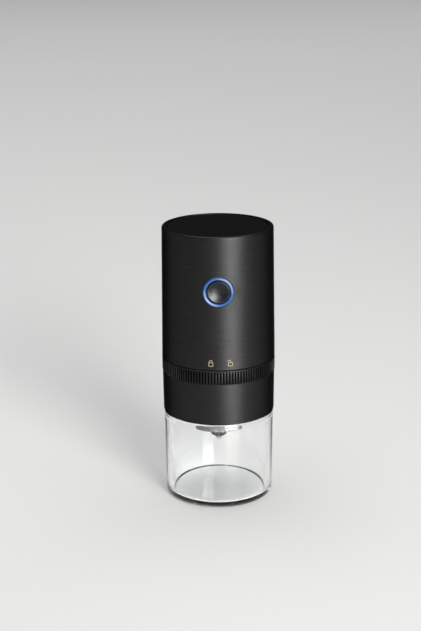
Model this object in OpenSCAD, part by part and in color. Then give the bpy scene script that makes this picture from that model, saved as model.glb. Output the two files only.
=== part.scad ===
// Portable electric coffee grinder: a glass jar, a burr set, a twist ring and a battery head.
// Millimetres, +Z up. The origin is the centre of the jar's base and the button faces -Y.

/* [Jar] */
// Outer diameter of the jar just under its shoulder
jar_d = 64.4; // [63:0.2:66]
// Outer diameter of the jar at its base
jar_base_d = 63; // [60:0.2:65]
// Height of the jar from the table to its shoulder
jar_body_h = 51.4; // [46:0.2:60]
// Thickness of the jar's side wall
jar_wall = 3.4; // [2:0.1:3.8]
// Thickness of the jar's floor
jar_floor = 2; // [1.6:0.2:5]
// Radius of the jar's lower outer edge
jar_corner_r = 2; // [1:0.25:2.5]
// Radius of the jar's shoulder
jar_shoulder_r = 1.2; // [0.6:0.1:1.6]
// Height of the neck above the shoulder
jar_neck_h = 8.6; // [7:0.2:9]
// Thickness of the neck's wall
jar_neck_wall = 2.2; // [1.6:0.1:2.6]
// Height of the sealing ring that grips the neck
seal_h = 3.8; // [3:0.2:4.4]
// Thickness of the sealing ring
seal_t = 1.3; // [1:0.1:1.5]

/* [Collar and hopper] */
// Outer diameter of the collar just under the lock ring
collar_d = 65.6; // [64.8:0.2:66]
// Outer diameter of the collar at its lower edge
collar_low_d = 65.1; // [64.6:0.1:65.6]
// Height of the collar below the lock ring
collar_h = 24.8; // [23.6:0.2:28]
// Thickness of the collar's wall at its lower edge
collar_wall = 2.2; // [2:0.1:2.6]
// Width of the collar's top face that the lock ring sits on
ring_seat_w = 2.8; // [2.6:0.1:3.2]
// Height of the collar's neck inside the lock ring
collar_neck_h = 2.5; // [2.3:0.1:2.8]
// Thickness of the collar's neck
collar_neck_wall = 2; // [1.8:0.1:2.2]
// Thickness of the hopper's floor flange
flange_t = 2.5; // [2:0.25:3]
// Thickness of the hopper's sloping wall
hopper_wall = 1.8; // [1.4:0.1:2.2]
// Radius of the hopper's outlet
hopper_out_r = 13.6; // [13:0.2:14.4]
// Room between the hopper's screw heads and the jar's neck
hopper_screw_room = 1; // [0.6:0.1:1.4]

/* [Lock ring] */
// Height of the knurled ring
ring_h = 8; // [7.6:0.2:9]
// How far the ring and the head stand out past the collar
ring_out = 0.2; // [0.1:0.1:0.8]
// Number of ribs around the ring
rib_count = 120; // [90:6:150]
// Depth of the slots between the ribs
rib_depth = 0.7; // [0.4:0.1:0.9]
// Share of the pitch that a slot takes
slot_share = 0.5; // [0.35:0.05:0.65]
// Angle covered by each locking tab
tab_span = 40; // [30:1:44]
// Height of each locking tab
tab_h = 2; // [1.6:0.1:2.1]
// Free angle between the tabs when the ring is unlocked
tab_free = 3; // [2:0.5:5]

/* [Burr set] */
// Outer diameter of the outer burr
outer_burr_d = 33.7; // [33:0.1:34.6]
// Height of the outer burr
outer_burr_h = 10.8; // [10:0.2:12]
// Radius of the inner burr's grinding edge
inner_burr_r = 11.4; // [11:0.1:11.6]
// Height of the inner burr
inner_burr_h = 14; // [13:0.5:15]
// Gap between the burrs at the coarsest setting
grind_gap = 0.5; // [0.4:0.05:0.7]
// Number of teeth on each burr
burr_teeth = 16; // [12:1:20]
// Thickness of the carrier's pocket wall and floor
carrier_wall = 1.8; // [1.5:0.1:2]
// Outer radius of the carrier's outlet tube
outlet_r = 13.3; // [13.1:0.1:13.8]
// Thickness of the outlet tube's wall
outlet_wall = 1.1; // [0.9:0.1:1.2]
// Length of the outlet tube below the burr pocket
outlet_h = 7; // [6.6:0.2:9]
// Radius of the carrier's hub
hub_r = 6; // [5.6:0.1:6.6]
// Radius of the burr's steel hub
burr_hub_r = 5; // [4.8:0.1:5.4]
// Radius of the circle of screws that hold the carrier
carrier_screw_pcr = 20.9; // [20.6:0.1:21.2]
// Outer radius of the grind knob
knob_r = 4.8; // [4.4:0.1:5.4]
// Height of the knob's gripping part
knob_h = 6.1; // [5:0.1:7]
// Height of the knob's lower cone
knob_cone_h = 1.6; // [1:0.1:2.4]
// Radius of the lift pin
pin_r = 1.7; // [1.5:0.1:1.75]
// Length of the lift pin's tip below the knob
pin_tip = 1.8; // [1.4:0.1:2.4]

/* [Head] */
// Diameter of the head at its top
head_top_d = 64.2; // [63.4:0.2:66]
// Height of the head
head_h = 77.3; // [76:0.1:84]
// Thickness of the head's wall
head_wall = 2; // [1.6:0.1:2.2]
// Radius of the head's upper edge
head_edge_r = 1.2; // [0.6:0.1:1.4]
// Bevel of the head's lower edge
head_bevel = 0.5; // [0.3:0.1:0.7]
// Thickness of the top cover
cover_t = 2.1; // [1.6:0.1:2.6]
// How far the top cover lies below the rim
cover_drop = 0.3; // [0.1:0.1:0.5]
// Width of the rim around the top cover
rim_w = 2.9; // [2.6:0.1:3.2]
// Thickness of the head's base plate
base_t = 3; // [2.8:0.1:3.4]
// Gap between the spigot under the base plate and the collar's neck
spigot_gap = 1.2; // [1:0.1:1.6]
// Thickness of the spigot's wall
spigot_wall = 2; // [1.6:0.1:2.4]
// Length of the spigot below the locking tabs
spigot_drop = 3; // [2:0.5:4]

/* [Button and light ring] */
// Height of the button's centre above the head's lower edge
button_up = 46; // [40:0.5:52]
// Outer radius of the light ring
light_r = 8.9; // [8.4:0.1:9.4]
// Inner radius of the light ring
light_in_r = 6.9; // [6.8:0.1:7.2]
// How far the light ring stands out of the shell
light_proud = 0.45; // [0.2:0.05:0.6]
// Rounding of the light ring's front
light_edge_r = 0.9; // [0.5:0.1:0.95]
// Gap between the button's metal cap and the light ring
cap_gap = 0.55; // [0.4:0.05:0.8]
// Thickness of the metal cap
cap_t = 2.5; // [2.2:0.1:3]
// Depth of the dish in the metal cap
dish_depth = 0.8; // [0.4:0.1:1.2]
// How far the button goes in
button_travel = 0.5; // [0.3:0.1:0.5]

/* [Drive] */
// Gear module
gear_m = 0.42; // [0.4:0.01:0.43]
// Width of the gears
gear_w = 5; // [4:0.5:6]
// Outer radius of the gearbox
gearbox_r = 12.5; // [12.2:0.1:12.8]
// Radius of the drive shaft
shaft_r = 3; // [2.8:0.1:3.2]
// Length of the hexagon in the burr's hub
hex_reach = 11; // [8:0.5:12]
// Radius of the motor
motor_r = 12.1; // [11.6:0.1:12.3]
// Length of the motor's can
motor_h = 29.6; // [27:0.2:32]
// Radius of the motor's shaft
motor_shaft_r = 1; // [0.8:0.1:1.1]
// Length of a battery cell
cell_h = 50; // [45:1:52]
// Width of the frame between the motor and a battery cell
cell_web = 2.6; // [2:0.1:3.2]
// Width of the frame outside a battery cell
cell_edge = 0.8; // [0.6:0.1:1.4]

/* [Boards and charging socket] */
// Thickness of the boards
board_t = 1.6; // [1:0.2:1.6]
// Width of the control board
board_w = 28; // [24:1:29]
// Height of the control board
board_h = 42; // [38:1:46]
// Height of the charging socket above the head's lower edge
socket_up = 15.3; // [13:0.1:20]
// Width of the charging socket
socket_w = 8.94; // [8.6:0.02:9.2]
// Height of the charging socket's opening
socket_t = 3.26; // [3:0.02:3.6]

/* [Hidden] */
// Clearances and small shared sizes
slide_gap = 0.35;
turn_gap = 0.3;
fit_gap = 0.02;
run_gap = 0.05;
seal_gap = 0.06;
seat_gap = 0.3;
ring_gap = 0.2;
bolt_gap = 0.2;
stop_gap = 0.1;
// How far a cut runs past a face, and how far joined solids run into each other
cut = 1;
eps = 0.01;
screw_r = 1;
screw_head_r = 1.6;
screw_head_h = 1.4;
$fn = 96;

// Levels, from the table up
z_collar = jar_body_h + seat_gap;
z_rim = jar_body_h + jar_neck_h;
z_ring = z_collar + collar_h;
z_ring_top = z_ring + ring_h;
z_neck_top = z_ring + collar_neck_h;
z_head = z_ring_top + ring_gap;
z_top = z_head + head_h;
z_flange_top = z_rim + flange_t;
ledge_t = 2;
z_ledge = z_ring - ledge_t;

// Radii of the collar and of what slides in it
shoulder_flat = 0.6;
shoulder_in_r = jar_d / 2 - jar_shoulder_r - shoulder_flat;
bore_r = min(min(collar_d, collar_low_d) / 2 - collar_wall, shoulder_in_r + slide_gap);
neck_r = bore_r - slide_gap;
neck_in_r = neck_r - jar_neck_wall;
collar_neck_r = collar_d / 2 - ring_seat_w;
collar_neck_in_r = collar_neck_r - collar_neck_wall;
ring_r = max(collar_d, collar_low_d) / 2 + ring_out;
ring_bore_r = collar_neck_r + turn_gap;
spigot_r = collar_neck_in_r - spigot_gap;
hopper_screw_pcr = neck_in_r - screw_head_r - hopper_screw_room;
hopper_screw_angle = 30;
carrier_screw_angle = 90;
bead_up = 0.8;
bead_h = 0.8;
bead_depth = 0.6;
seal_up = 2.2;
seal_z = z_collar + seal_up;

// Burr set, measured down from the hopper's flange
burr_top_gap = 0.2;
z_burr = z_rim - burr_top_gap - outer_burr_h;
z_pocket = z_burr - carrier_wall;
z_outlet = z_pocket - outlet_h;
hub_up = 0.6;
z_hub = z_outlet + hub_up;
pocket_r = outer_burr_d / 2 + stop_gap;
pocket_out_r = pocket_r + carrier_wall;
outlet_in_r = outlet_r - outlet_wall;
throat_up = 6;
throat_in = 1;
burr_mouth_r = hopper_out_r - stop_gap;
spoke_w = 3;
spoke_h = 3.5;
carrier_flange_r = 22.8;
carrier_flange_t = 2.5;
boss_r = 2.2;
boss_h = 3;
hub_floor_t = 1.2;
guide_t = 1.5;
hub_wall = 1.2;
guide_r = hub_r - hub_wall;
guide_up = 3.8;
key_w = 3.3;
knob_neck_r = 3.1;
knob_gap = 0.3;
z_knob_top = z_hub - knob_gap;
z_knob_low = z_knob_top - knob_h;
z_pin_low = z_knob_low - knob_cone_h - pin_tip;
hub_below = 2;
z_burr_hub = z_burr - hub_below;
burr_groove = 0.5;
knob_groove = 0.4;
burr_clip_t = 0.8;
hub_top_up = 3;
z_inner_top = z_burr + inner_burr_h;
z_hub_top = z_inner_top + hub_top_up;
hex_slack = 0.25;
z_hex_low = z_hub_top - hex_reach;
hex_floor_gap = 1.5;
flutes = 10;
flute_r = 0.8;

// Head, gearbox and motor levels
head_r = ring_r;
head_top_r = head_top_d / 2;
z_base_top = z_head + base_t;
z_tab = z_neck_top;
ring_tab_gap = 0.3;
tab_r = collar_neck_r - turn_gap;
step_w = 1.2;
step_h = 1.5;
z_shelf = z_top - cover_drop - cover_t - ledge_t;
shelf_w = 1.8;
shelf_in_r = head_top_r - rim_w - shelf_w;
cover_r = head_top_r - rim_w - ring_gap;
floor_t = 1.5;
bearing_r = 6.5;
bearing_w = 3.5;
race_t = 1.25;
ball_r = 0.95;
ball_gap = 0.05;
balls = 9;
ball_pcr = (bearing_r + shaft_r) / 2;
z_bearing = z_base_top + floor_t;
shoulder_h = 0.7;
z_carrier = z_bearing + bearing_w + shoulder_h;
carrier_t = 2;
gear_gap = 0.4;
z_gears = z_carrier + carrier_t + gear_gap;
z_gears_top = z_gears + gear_w;
gear_cover_gap = 1.1;
z_cover = z_gears_top + gear_cover_gap;
gear_cover_t = 1.5;
z_motor = z_cover + gear_cover_t;
z_motor_top = z_motor + motor_h;
sun_teeth = 12;
planet_teeth = 18;
ring_teeth = 48;
planets = 3;
planet_x = gear_m * (sun_teeth + planet_teeth) / 2;
planet_pin_r = 1.2;
pressure = 25;
addendum = 0.9 * gear_m;
dedendum = 1.15 * gear_m;
backlash = 0.08;
flank_steps = 3;
seal_r = 6;
seal_w = 2.2;
seal_below = 2.8;
z_seal = z_head - seal_below;
seal_boss_r = 8;
can_wall = 1;
can_front = 1.2;
endcap_t = 2.5;
front_bush_r = 3;
rear_bush_r = 2.5;
tag_h = 3.5;
core_up = 7;
core_below = 8;
z_core = z_motor + core_up;
z_core_top = z_motor_top - core_below;
winding_r = 7;
winding_h = 2.2;
frame_t = 2.5;
frame_gap = 0.4;
frame_r = min(head_r, head_top_r) - head_wall - frame_gap;
post_r = 2.5;
post_edge = 1.6;
post_pcr = frame_r - post_r - post_edge;
post_angle = 49;
frame_screw_pcr = (gearbox_r + spigot_r - spigot_wall) / 2;
frame_screw_angle = 45;
frame_boss_h = 5;
gearbox_screw_pcr = 9.8;
motor_screw_pcr = 8;
motor_head_h = 1;
z_cells = z_base_top + frame_t;
z_strap = z_cells + cell_h;
strap_gap = 0.6;
z_bridge = max(z_strap, z_motor_top + endcap_t + tag_h + strap_gap);
clamp_below = 5;
z_clamp = z_motor_top - clamp_below;
clamp_r = min(shell_r(z_clamp), shell_r(z_clamp + frame_t)) - head_wall - frame_gap;
cell_r = (frame_r - cell_edge - motor_r - cell_web) / 2;
cell_x = motor_r + cell_web + cell_r;
z_button = z_head + button_up;
z_socket = z_head + socket_up;
button_shell_r = shell_r(z_button);
socket_shell_r = shell_r(z_socket);
light_front = button_shell_r + light_proud;
light_flange_w = 1.6;
light_flange_t = 1.2;
button_in_r = button_shell_r - head_wall;
light_flange_gap = 0.15;
light_flange_r = light_r + light_flange_w;
light_flange_front = sqrt(pow(button_in_r, 2) - pow(light_flange_r, 2)) - light_flange_gap;
light_lip_w = 1;
light_lip_r = light_in_r - light_lip_w;
cap_r = light_in_r - cap_gap;
light_lip_t = 0.8;
cap_in = 0.4;
cap_front = light_front - cap_in;
cap_back = cap_front - cap_t;
lip_front = cap_back - button_travel - stop_gap;
lip_back = lip_front - light_lip_t;
button_gap = 0.4;
stem_neck_r = light_lip_r - button_gap;
stem_flange_r = light_in_r - button_gap;
stem_flange_front = lip_back - seat_gap;
stem_flange_t = 0.9;
stem_back = stem_flange_front - stem_flange_t;
switch_front = stem_back - button_travel - stop_gap;
switch_t = 2.2;
switch_w = 6;
switch_floor = 0.3;
plunger_r = 1.7;
board_front = switch_front - switch_t;
led_room = 1.8;
light_back = board_front + led_room;
button_share = 0.62;
z_board = z_button - button_share * board_h;
led_w = 1.6;
led_t = 0.8;
leds = 4;
led_angle = 45;
pocket_depth = 1.2;
plug_w = 12.4;
plug_t = 6.6;
socket_proud = 0.2;
socket_front = socket_shell_r - head_wall + socket_proud;
socket_depth = 6;
socket_wall = 0.35;
charge_board_y = socket_front - socket_depth;
charge_board_w = 18;
charge_board_h = 20;
socket_gap = 0.25;
lead_r = 0.8;
lead_x = 4.9;

// Points of an arc about (x, y)
function arc(x, y, r, a0, a1, n) =
    [for (i = [0:n]) let (a = a0 + (a1 - a0) * i / n) [x + r * cos(a), y + r * sin(a)]];

function polar(r, a) = [r * cos(a), r * sin(a)];

// Outer radius of the head at a level
function shell_r(z) = head_r - (head_r - head_top_r) * (z - z_head) / head_h;

// Involute of an angle, in degrees
function involute(a) = tan(a) * 180 / PI - a;

// Half the angle of a tooth at radius r
function flank(r, rp, half) =
    half + involute(pressure) - involute(acos(min(1, rp * cos(pressure) / r)));

// Outline of a spur gear with a tooth centred on the X axis
function gear_points(teeth, add, ded, slack) =
    let (
        rp = gear_m * teeth / 2,
        tip = rp + add,
        root = rp - ded,
        start = max(root, rp * cos(pressure)),
        half = 90 / teeth - slack / rp * 90 / PI,
        radii = [for (k = [0:flank_steps]) start + (tip - start) * k / flank_steps]
    )
    [for (i = [0:teeth - 1])
        let (c = 360 * i / teeth)
        each concat(
            [polar(root, c - flank(start, rp, half))],
            [for (k = [0:flank_steps]) polar(radii[k], c - flank(radii[k], rp, half))],
            [for (k = [flank_steps:-1:0]) polar(radii[k], c + flank(radii[k], rp, half))],
            [polar(root, c + flank(start, rp, half))]
        )];

module tube(r_out, r_in, z0, z1) {
    difference() {
        translate([0, 0, z0]) cylinder(r = r_out, h = z1 - z0);
        translate([0, 0, z0 - cut]) cylinder(r = r_in, h = z1 - z0 + 2 * cut);
    }
}

module disc(r, z0, z1) {
    translate([0, 0, z0]) cylinder(r = r, h = z1 - z0);
}

// Block between two radii, centred on an angle
module arc_block(r_in, r_out, z0, z1, mid, span) {
    rotate([0, 0, mid - span / 2])
        rotate_extrude(angle = span)
            translate([r_in, z0]) square([r_out - r_in, z1 - z0]);
}

// Copies on a circle
module around(n, r, turn) {
    for (i = [0:n - 1]) rotate([0, 0, turn + 360 * i / n]) translate([r, 0, 0]) children();
}

// Screw with its head below z and its shank above
module screw_up(z, grip) {
    disc(screw_head_r, z - screw_head_h, z);
    disc(screw_r, z - screw_head_h / 2, z + grip);
}

// Frame of the button: its local Z points out of the front
module at_button() {
    translate([0, 0, z_button]) rotate([90, 0, 0]) children();
}

// Bar with round ends across the charging socket, between two depths
module stadium(w, t, y0, y1) {
    for (side = [-1, 1])
        translate([side * (w - t) / 2, y0, z_socket]) rotate([-90, 0, 0]) cylinder(d = t, h = y1 - y0);
    translate([-(w - t) / 2, y0, z_socket - t / 2]) cube([w - t, y1 - y0, t]);
}

module jar() {
    r0 = jar_base_d / 2;
    r1 = jar_d / 2;
    inner_r = 1;
    neck_run = 1;
    neck_slope = 3.6;
    color("lightcyan", 0.4)
        rotate_extrude()
            polygon(concat(
                [[0, 0]],
                arc(r0 - jar_corner_r, jar_corner_r, jar_corner_r, -90, 0, 6),
                arc(r1 - jar_shoulder_r, jar_body_h - jar_shoulder_r, jar_shoulder_r, 0, 90, 5),
                [[neck_r, jar_body_h], [neck_r, z_rim], [neck_in_r, z_rim]],
                [[neck_in_r, jar_body_h - neck_run], [r1 - jar_wall, jar_body_h - neck_slope]],
                arc(r0 - jar_wall - inner_r, jar_floor + inner_r, inner_r, 0, -90, 5),
                [[0, jar_floor]]
            ));
}

module jar_seal() {
    rib = 0.4;
    z1 = seal_z + seal_h;
    color("dimgray") {
        difference() {
            tube(neck_r + seal_gap + seal_t, neck_r + seal_gap, seal_z, z1);
            for (z = [seal_z + seal_h / 3, seal_z + 2 * seal_h / 3])
                tube(neck_r + seal_gap + rib, neck_r - cut, z - rib, z + rib);
        }
    }
}

module collar_shell() {
    low_r = collar_low_d / 2;
    top_r = collar_d / 2;
    edge = 0.5;
    groove_r = neck_r + seal_gap + seal_t + fit_gap;
    web_w = bore_r - hopper_screw_pcr + collar_wall / 4;
    boss_roof = 1;
    color("#1b1b1d")
        difference() {
            union() {
                rotate_extrude()
                    polygon([
                        [bore_r, z_collar], [low_r - edge, z_collar], [low_r, z_collar + edge],
                        [top_r, z_ring - edge / 2], [top_r - edge / 2, z_ring],
                        [collar_neck_r, z_ring], [collar_neck_r, z_neck_top],
                        [collar_neck_in_r, z_neck_top], [collar_neck_in_r, z_ledge],
                        [bore_r, z_ledge]
                    ]);
                around(3, hopper_screw_pcr, hopper_screw_angle)
                    disc(boss_r, z_flange_top, z_flange_top + boss_h);
                around(3, hopper_screw_pcr, hopper_screw_angle)
                    translate([0, -boss_r / 2, z_flange_top])
                        cube([web_w, boss_r, boss_h]);
            }
            around(3, hopper_screw_pcr, hopper_screw_angle)
                disc(screw_r + fit_gap, z_flange_top - cut, z_flange_top + boss_h - boss_roof);
            tube(groove_r, bore_r - cut, seal_z - fit_gap, seal_z + seal_h + fit_gap);
            tube(collar_neck_r + cut, collar_neck_r - bead_depth - turn_gap,
                z_ring + bead_up - turn_gap, z_ring + bead_up + bead_h + turn_gap);
        }
}

module hopper() {
    rim_out_r = bore_r - slide_gap;
    rim_in = 1;
    rim_t = 1.5;
    slope = 1.4;
    slope_w = hopper_wall * slope;
    rim_in_r = min(collar_neck_in_r - rim_in, rim_out_r - slope_w - stop_gap);
    lip_h = 0.5;
    boss_top = z_flange_top + boss_h / 2;
    boss_roof = 1;
    color("#2a2a2c")
        difference() {
            union() {
                rotate_extrude()
                    polygon([
                        [hopper_out_r, z_rim], [rim_out_r, z_rim], [rim_out_r, z_flange_top],
                        [hopper_out_r + slope_w, z_flange_top], [rim_in_r + slope_w, z_ledge - rim_t],
                        [rim_out_r, z_ledge - rim_t], [rim_out_r, z_ledge], [rim_in_r, z_ledge],
                        [hopper_out_r, z_flange_top - lip_h]
                    ]);
                around(3, carrier_screw_pcr, carrier_screw_angle) disc(boss_r, z_flange_top - cut, boss_top);
            }
            around(3, carrier_screw_pcr, carrier_screw_angle)
                disc(screw_r + fit_gap, z_rim - cut, boss_top - boss_roof);
            around(3, hopper_screw_pcr, hopper_screw_angle)
                disc(screw_r + bolt_gap, z_rim - cut, z_flange_top + cut);
            disc(hopper_out_r, z_rim - cut, z_flange_top);
        }
}

module hopper_screws() {
    tip_gap = 2;
    color("silver")
        around(3, hopper_screw_pcr, hopper_screw_angle)
            screw_up(z_rim, flange_t + boss_h - tip_gap);
}

// Straight slanted cuts that leave teeth on a cone
module tooth_cuts(r, z0, z1, skew, width, depth) {
    over = 1.3;
    around(burr_teeth, r, 0)
        translate([0, 0, (z0 + z1) / 2])
            rotate([skew, 0, 0])
                cube([2 * depth, width, over * (z1 - z0)], center = true);
}

module outer_burr() {
    edge_r = inner_burr_r + grind_gap;
    throat_r = edge_r - throat_in;
    cut_w = 1.2;
    cut_depth = 0.7;
    scoop_r = 1.4;
    scoop_up = 1;
    skew = 10;
    cut_r = edge_r - throat_in / 2;
    cut_top = z_burr + throat_up / 1.5;
    color("#d9d6cc")
        difference() {
            rotate_extrude()
                polygon([
                    [edge_r, z_burr], [outer_burr_d / 2, z_burr],
                    [outer_burr_d / 2, z_burr + outer_burr_h], [burr_mouth_r, z_burr + outer_burr_h],
                    [throat_r, z_burr + throat_up]
                ]);
            tooth_cuts(cut_r, z_burr, cut_top, skew, cut_w, cut_depth + throat_in / 2);
            around(burr_teeth / 2, burr_mouth_r, 0) disc(scoop_r, z_burr + throat_up + scoop_up, z_rim);
        }
}

module burr_carrier() {
    flange_z = z_rim - carrier_flange_t;
    z_guide_top = z_hub + guide_up + guide_t;
    spoke_from = hub_r - cut;
    spoke_to = outlet_in_r + outlet_wall / 2;
    color("#8d8d8b")
        difference() {
            union() {
                disc(carrier_flange_r, flange_z, z_rim);
                disc(pocket_out_r, z_pocket, z_rim);
                disc(outlet_r, z_outlet, z_burr);
            }
            disc(pocket_r, z_burr, z_rim + cut);
            disc(outlet_in_r, z_outlet - cut, z_burr + cut);
            around(3, carrier_screw_pcr, carrier_screw_angle)
                disc(screw_r + bolt_gap, flange_z - cut, z_rim + cut);
            around(3, carrier_screw_pcr, carrier_screw_angle)
                disc(screw_head_r + stop_gap, flange_z - cut, flange_z + screw_head_h);
            around(3, hopper_screw_pcr, hopper_screw_angle)
                disc(screw_head_r + turn_gap, flange_z - cut, z_rim + cut);
        }
    color("#8d8d8b")
        difference() {
            union() {
                disc(hub_r, z_hub, z_guide_top);
                for (i = [0:2])
                    rotate([0, 0, 120 * i])
                        translate([spoke_from, -spoke_w / 2, z_hub])
                            cube([spoke_to - spoke_from, spoke_w, spoke_h]);
            }
            disc(guide_r + fit_gap, z_hub + hub_floor_t, z_guide_top + cut);
            disc(knob_neck_r + run_gap, z_hub - cut, z_hub + hub_floor_t + cut);
        }
}

module carrier_screws() {
    z_head_face = z_rim - carrier_flange_t + screw_head_h;
    tip_gap = 1.5;
    z_tip = z_flange_top + boss_h / 2 - tip_gap;
    color("silver")
        around(3, carrier_screw_pcr, carrier_screw_angle)
            screw_up(z_head_face, z_tip - z_head_face);
}

module pin_guide() {
    z0 = z_hub + guide_up;
    hole_w = key_w + slide_gap;
    color("goldenrod")
        difference() {
            disc(guide_r, z0, z0 + guide_t);
            translate([-hole_w / 2, -hole_w / 2, z0 - cut]) cube([hole_w, hole_w, guide_t + 2 * cut]);
        }
}

module lock_ring() {
    pitch = 360 / rib_count;
    slot = pitch * slot_share;
    low_r = ring_r - rib_depth;
    rim_t = 0.6;
    rim_in = 0.1;
    join_w = 0.5;
    join_r = ring_bore_r + join_w;
    tab_in_r = spigot_r + frame_gap;
    tab_mid = tab_span + tab_free;
    tab_z = z_tab + tab_h + ring_tab_gap;
    color("#19191b") {
        difference() {
            union() {
                translate([0, 0, z_ring])
                    linear_extrude(ring_h - rim_t)
                        polygon([for (i = [0:rib_count - 1])
                            let (a0 = i * pitch - slot / 2, a1 = i * pitch + slot / 2)
                            each [polar(low_r, a0), polar(low_r, a1),
                                polar(ring_r, a1), polar(ring_r, a0 + pitch)]]);
                disc(ring_r - rim_in, z_ring_top - rim_t - eps, z_ring_top);
            }
            disc(ring_bore_r, z_ring - cut, z_ring_top + cut);
        }
        tube(join_r, collar_neck_r - bead_depth, z_ring + bead_up, z_ring + bead_up + bead_h);
        for (i = [0:2])
            arc_block(tab_in_r, join_r, tab_z, tab_z + tab_h, 120 * i + tab_mid, tab_span);
    }
}

module grind_knob() {
    cone_rim = 0.6;
    flute_out = 0.3;
    neck_up = 1.6;
    groove_up = 0.2;
    groove_h = 0.6;
    z_neck = z_hub + hub_floor_t;
    z_groove = z_neck + groove_up;
    color("#141416")
        difference() {
            union() {
                difference() {
                    union() {
                        disc(knob_r, z_knob_low, z_knob_top);
                        translate([0, 0, z_knob_low - knob_cone_h])
                            cylinder(r1 = pin_r + cone_rim, r2 = knob_r - flute_r, h = knob_cone_h + eps);
                    }
                    around(flutes, knob_r + flute_out, 0) disc(flute_r, z_knob_low - cut, z_knob_top - cut);
                }
                disc(knob_neck_r, z_knob_top - cut, z_neck + neck_up);
            }
            tube(knob_neck_r + cut, knob_neck_r - knob_groove, z_groove, z_groove + groove_h);
            disc(pin_r + run_gap, z_pin_low - cut, z_hub + guide_up);
        }
}

module knob_clip() {
    clip_up = 0.25;
    clip_t = 0.5;
    clip_span = 300;
    z0 = z_hub + hub_floor_t + clip_up;
    clip_in_r = knob_neck_r - knob_groove + fit_gap;
    color("silver") arc_block(clip_in_r, guide_r - turn_gap, z0, z0 + clip_t, 0, clip_span);
}

module lift_pin() {
    key_below = 0.6;
    key_z = z_hub + guide_up - key_below;
    stem_top = key_z + stop_gap;
    dome = 0.7;
    color("gainsboro") {
        rotate_extrude()
            polygon(concat(
                [[0, z_pin_low]],
                arc(pin_r - dome, z_pin_low + dome, dome, -90, 0, 5),
                [[pin_r, stem_top], [0, stem_top]]
            ));
        translate([-key_w / 2, -key_w / 2, key_z]) cube([key_w, key_w, z_burr_hub - key_z]);
    }
}

module inner_burr() {
    throat_r = inner_burr_r - throat_in;
    top_w = 1.5;
    top_r = burr_hub_r + top_w;
    bore = burr_hub_r + fit_gap;
    z_throat = z_burr + throat_up;
    cut_w = 1.2;
    cut_depth = 0.7;
    skew = -14;
    feed_out = 0.6;
    feed = [2.2, 1.6, 1.5 * inner_burr_h];
    feed_turn = [-30, -25, 0];
    feed_r = (throat_r + top_r) / 2 + feed_out;
    color("#d9d6cc")
        difference() {
            rotate_extrude()
                polygon([
                    [bore, z_burr], [inner_burr_r, z_burr],
                    [throat_r, z_throat], [top_r, z_inner_top], [bore, z_inner_top]
                ]);
            tooth_cuts(inner_burr_r, z_burr, z_throat, skew, cut_w, cut_depth);
            around(burr_teeth / 2, feed_r, 0)
                translate([0, 0, (z_throat + z_inner_top) / 2])
                    rotate(feed_turn)
                        cube(feed, center = true);
        }
}

module burr_hub() {
    lip = 1.2;
    z_clip = z_burr - burr_clip_t - run_gap;
    color("silver")
        difference() {
            union() {
                disc(burr_hub_r, z_burr_hub, z_hub_top);
                disc(burr_hub_r + lip, z_inner_top, z_inner_top + lip);
            }
            translate([0, 0, z_hex_low - hex_floor_gap])
                cylinder(r = shaft_r + hex_slack, h = hex_reach + hex_floor_gap + cut, $fn = 6);
            tube(burr_hub_r + cut, burr_hub_r - burr_groove, z_clip - run_gap, z_burr - run_gap);
        }
}

module burr_clip() {
    clip_w = 1.6;
    clip_span = 310;
    z0 = z_burr - burr_clip_t - run_gap;
    z1 = z_burr - 2 * run_gap;
    clip_in_r = burr_hub_r - burr_groove + fit_gap;
    color("silver") arc_block(clip_in_r, burr_hub_r + clip_w, z0, z1, 0, clip_span);
}

module head_base() {
    boss_lip = 0.2;
    tab_join = 0.5;
    color("#232325")
        difference() {
            union() {
                disc(head_r - step_w - fit_gap, z_head, z_head + step_h);
                disc(head_r - head_wall - seat_gap, z_head, z_base_top);
                tube(spigot_r, spigot_r - spigot_wall, z_tab - spigot_drop, z_head + cut);
                for (i = [0:2])
                    arc_block(spigot_r - tab_join, tab_r, z_tab, z_tab + tab_h, 120 * i, tab_span);
                disc(seal_boss_r, z_seal - boss_lip, z_head + cut);
            }
            disc(seal_r + fit_gap, z_seal - cut, z_seal + seal_w);
            disc(shaft_r + seat_gap, z_seal - cut, z_base_top + cut);
            around(4, frame_screw_pcr, frame_screw_angle)
                disc(screw_r + bolt_gap, z_head - cut, z_base_top + cut);
            around(4, gearbox_screw_pcr, 0) disc(screw_r + bolt_gap, z_head - cut, z_base_top + cut);
        }
}

module head_shell() {
    r0 = head_r;
    r1 = head_top_r;
    in_r0 = r0 - head_wall;
    in_r1 = r1 - head_wall;
    z_ledge_top = z_shelf + ledge_t;
    slot_w = socket_w + 2 * socket_gap;
    slot_t = socket_t + 2 * socket_gap;
    color("#1b1b1d")
        difference() {
            rotate_extrude()
                polygon(concat(
                    [[r0 - step_w, z_head], [r0 - head_bevel, z_head], [r0, z_head + head_bevel]],
                    arc(r1 - head_edge_r, z_top - head_edge_r, head_edge_r, 0, 90, 6),
                    [[r1 - rim_w, z_top], [r1 - rim_w, z_ledge_top], [shelf_in_r, z_ledge_top]],
                    [[shelf_in_r, z_shelf], [in_r1, z_shelf], [in_r0, z_head + step_h]],
                    [[r0 - step_w, z_head + step_h]]
                ));
            at_button() disc(light_r + stop_gap, light_flange_front - head_wall, light_front + cut);
            stadium(slot_w, slot_t, socket_shell_r - 2 * head_wall, socket_shell_r + cut);
            stadium(plug_w, plug_t, socket_shell_r - pocket_depth, socket_shell_r + cut);
        }
}

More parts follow.
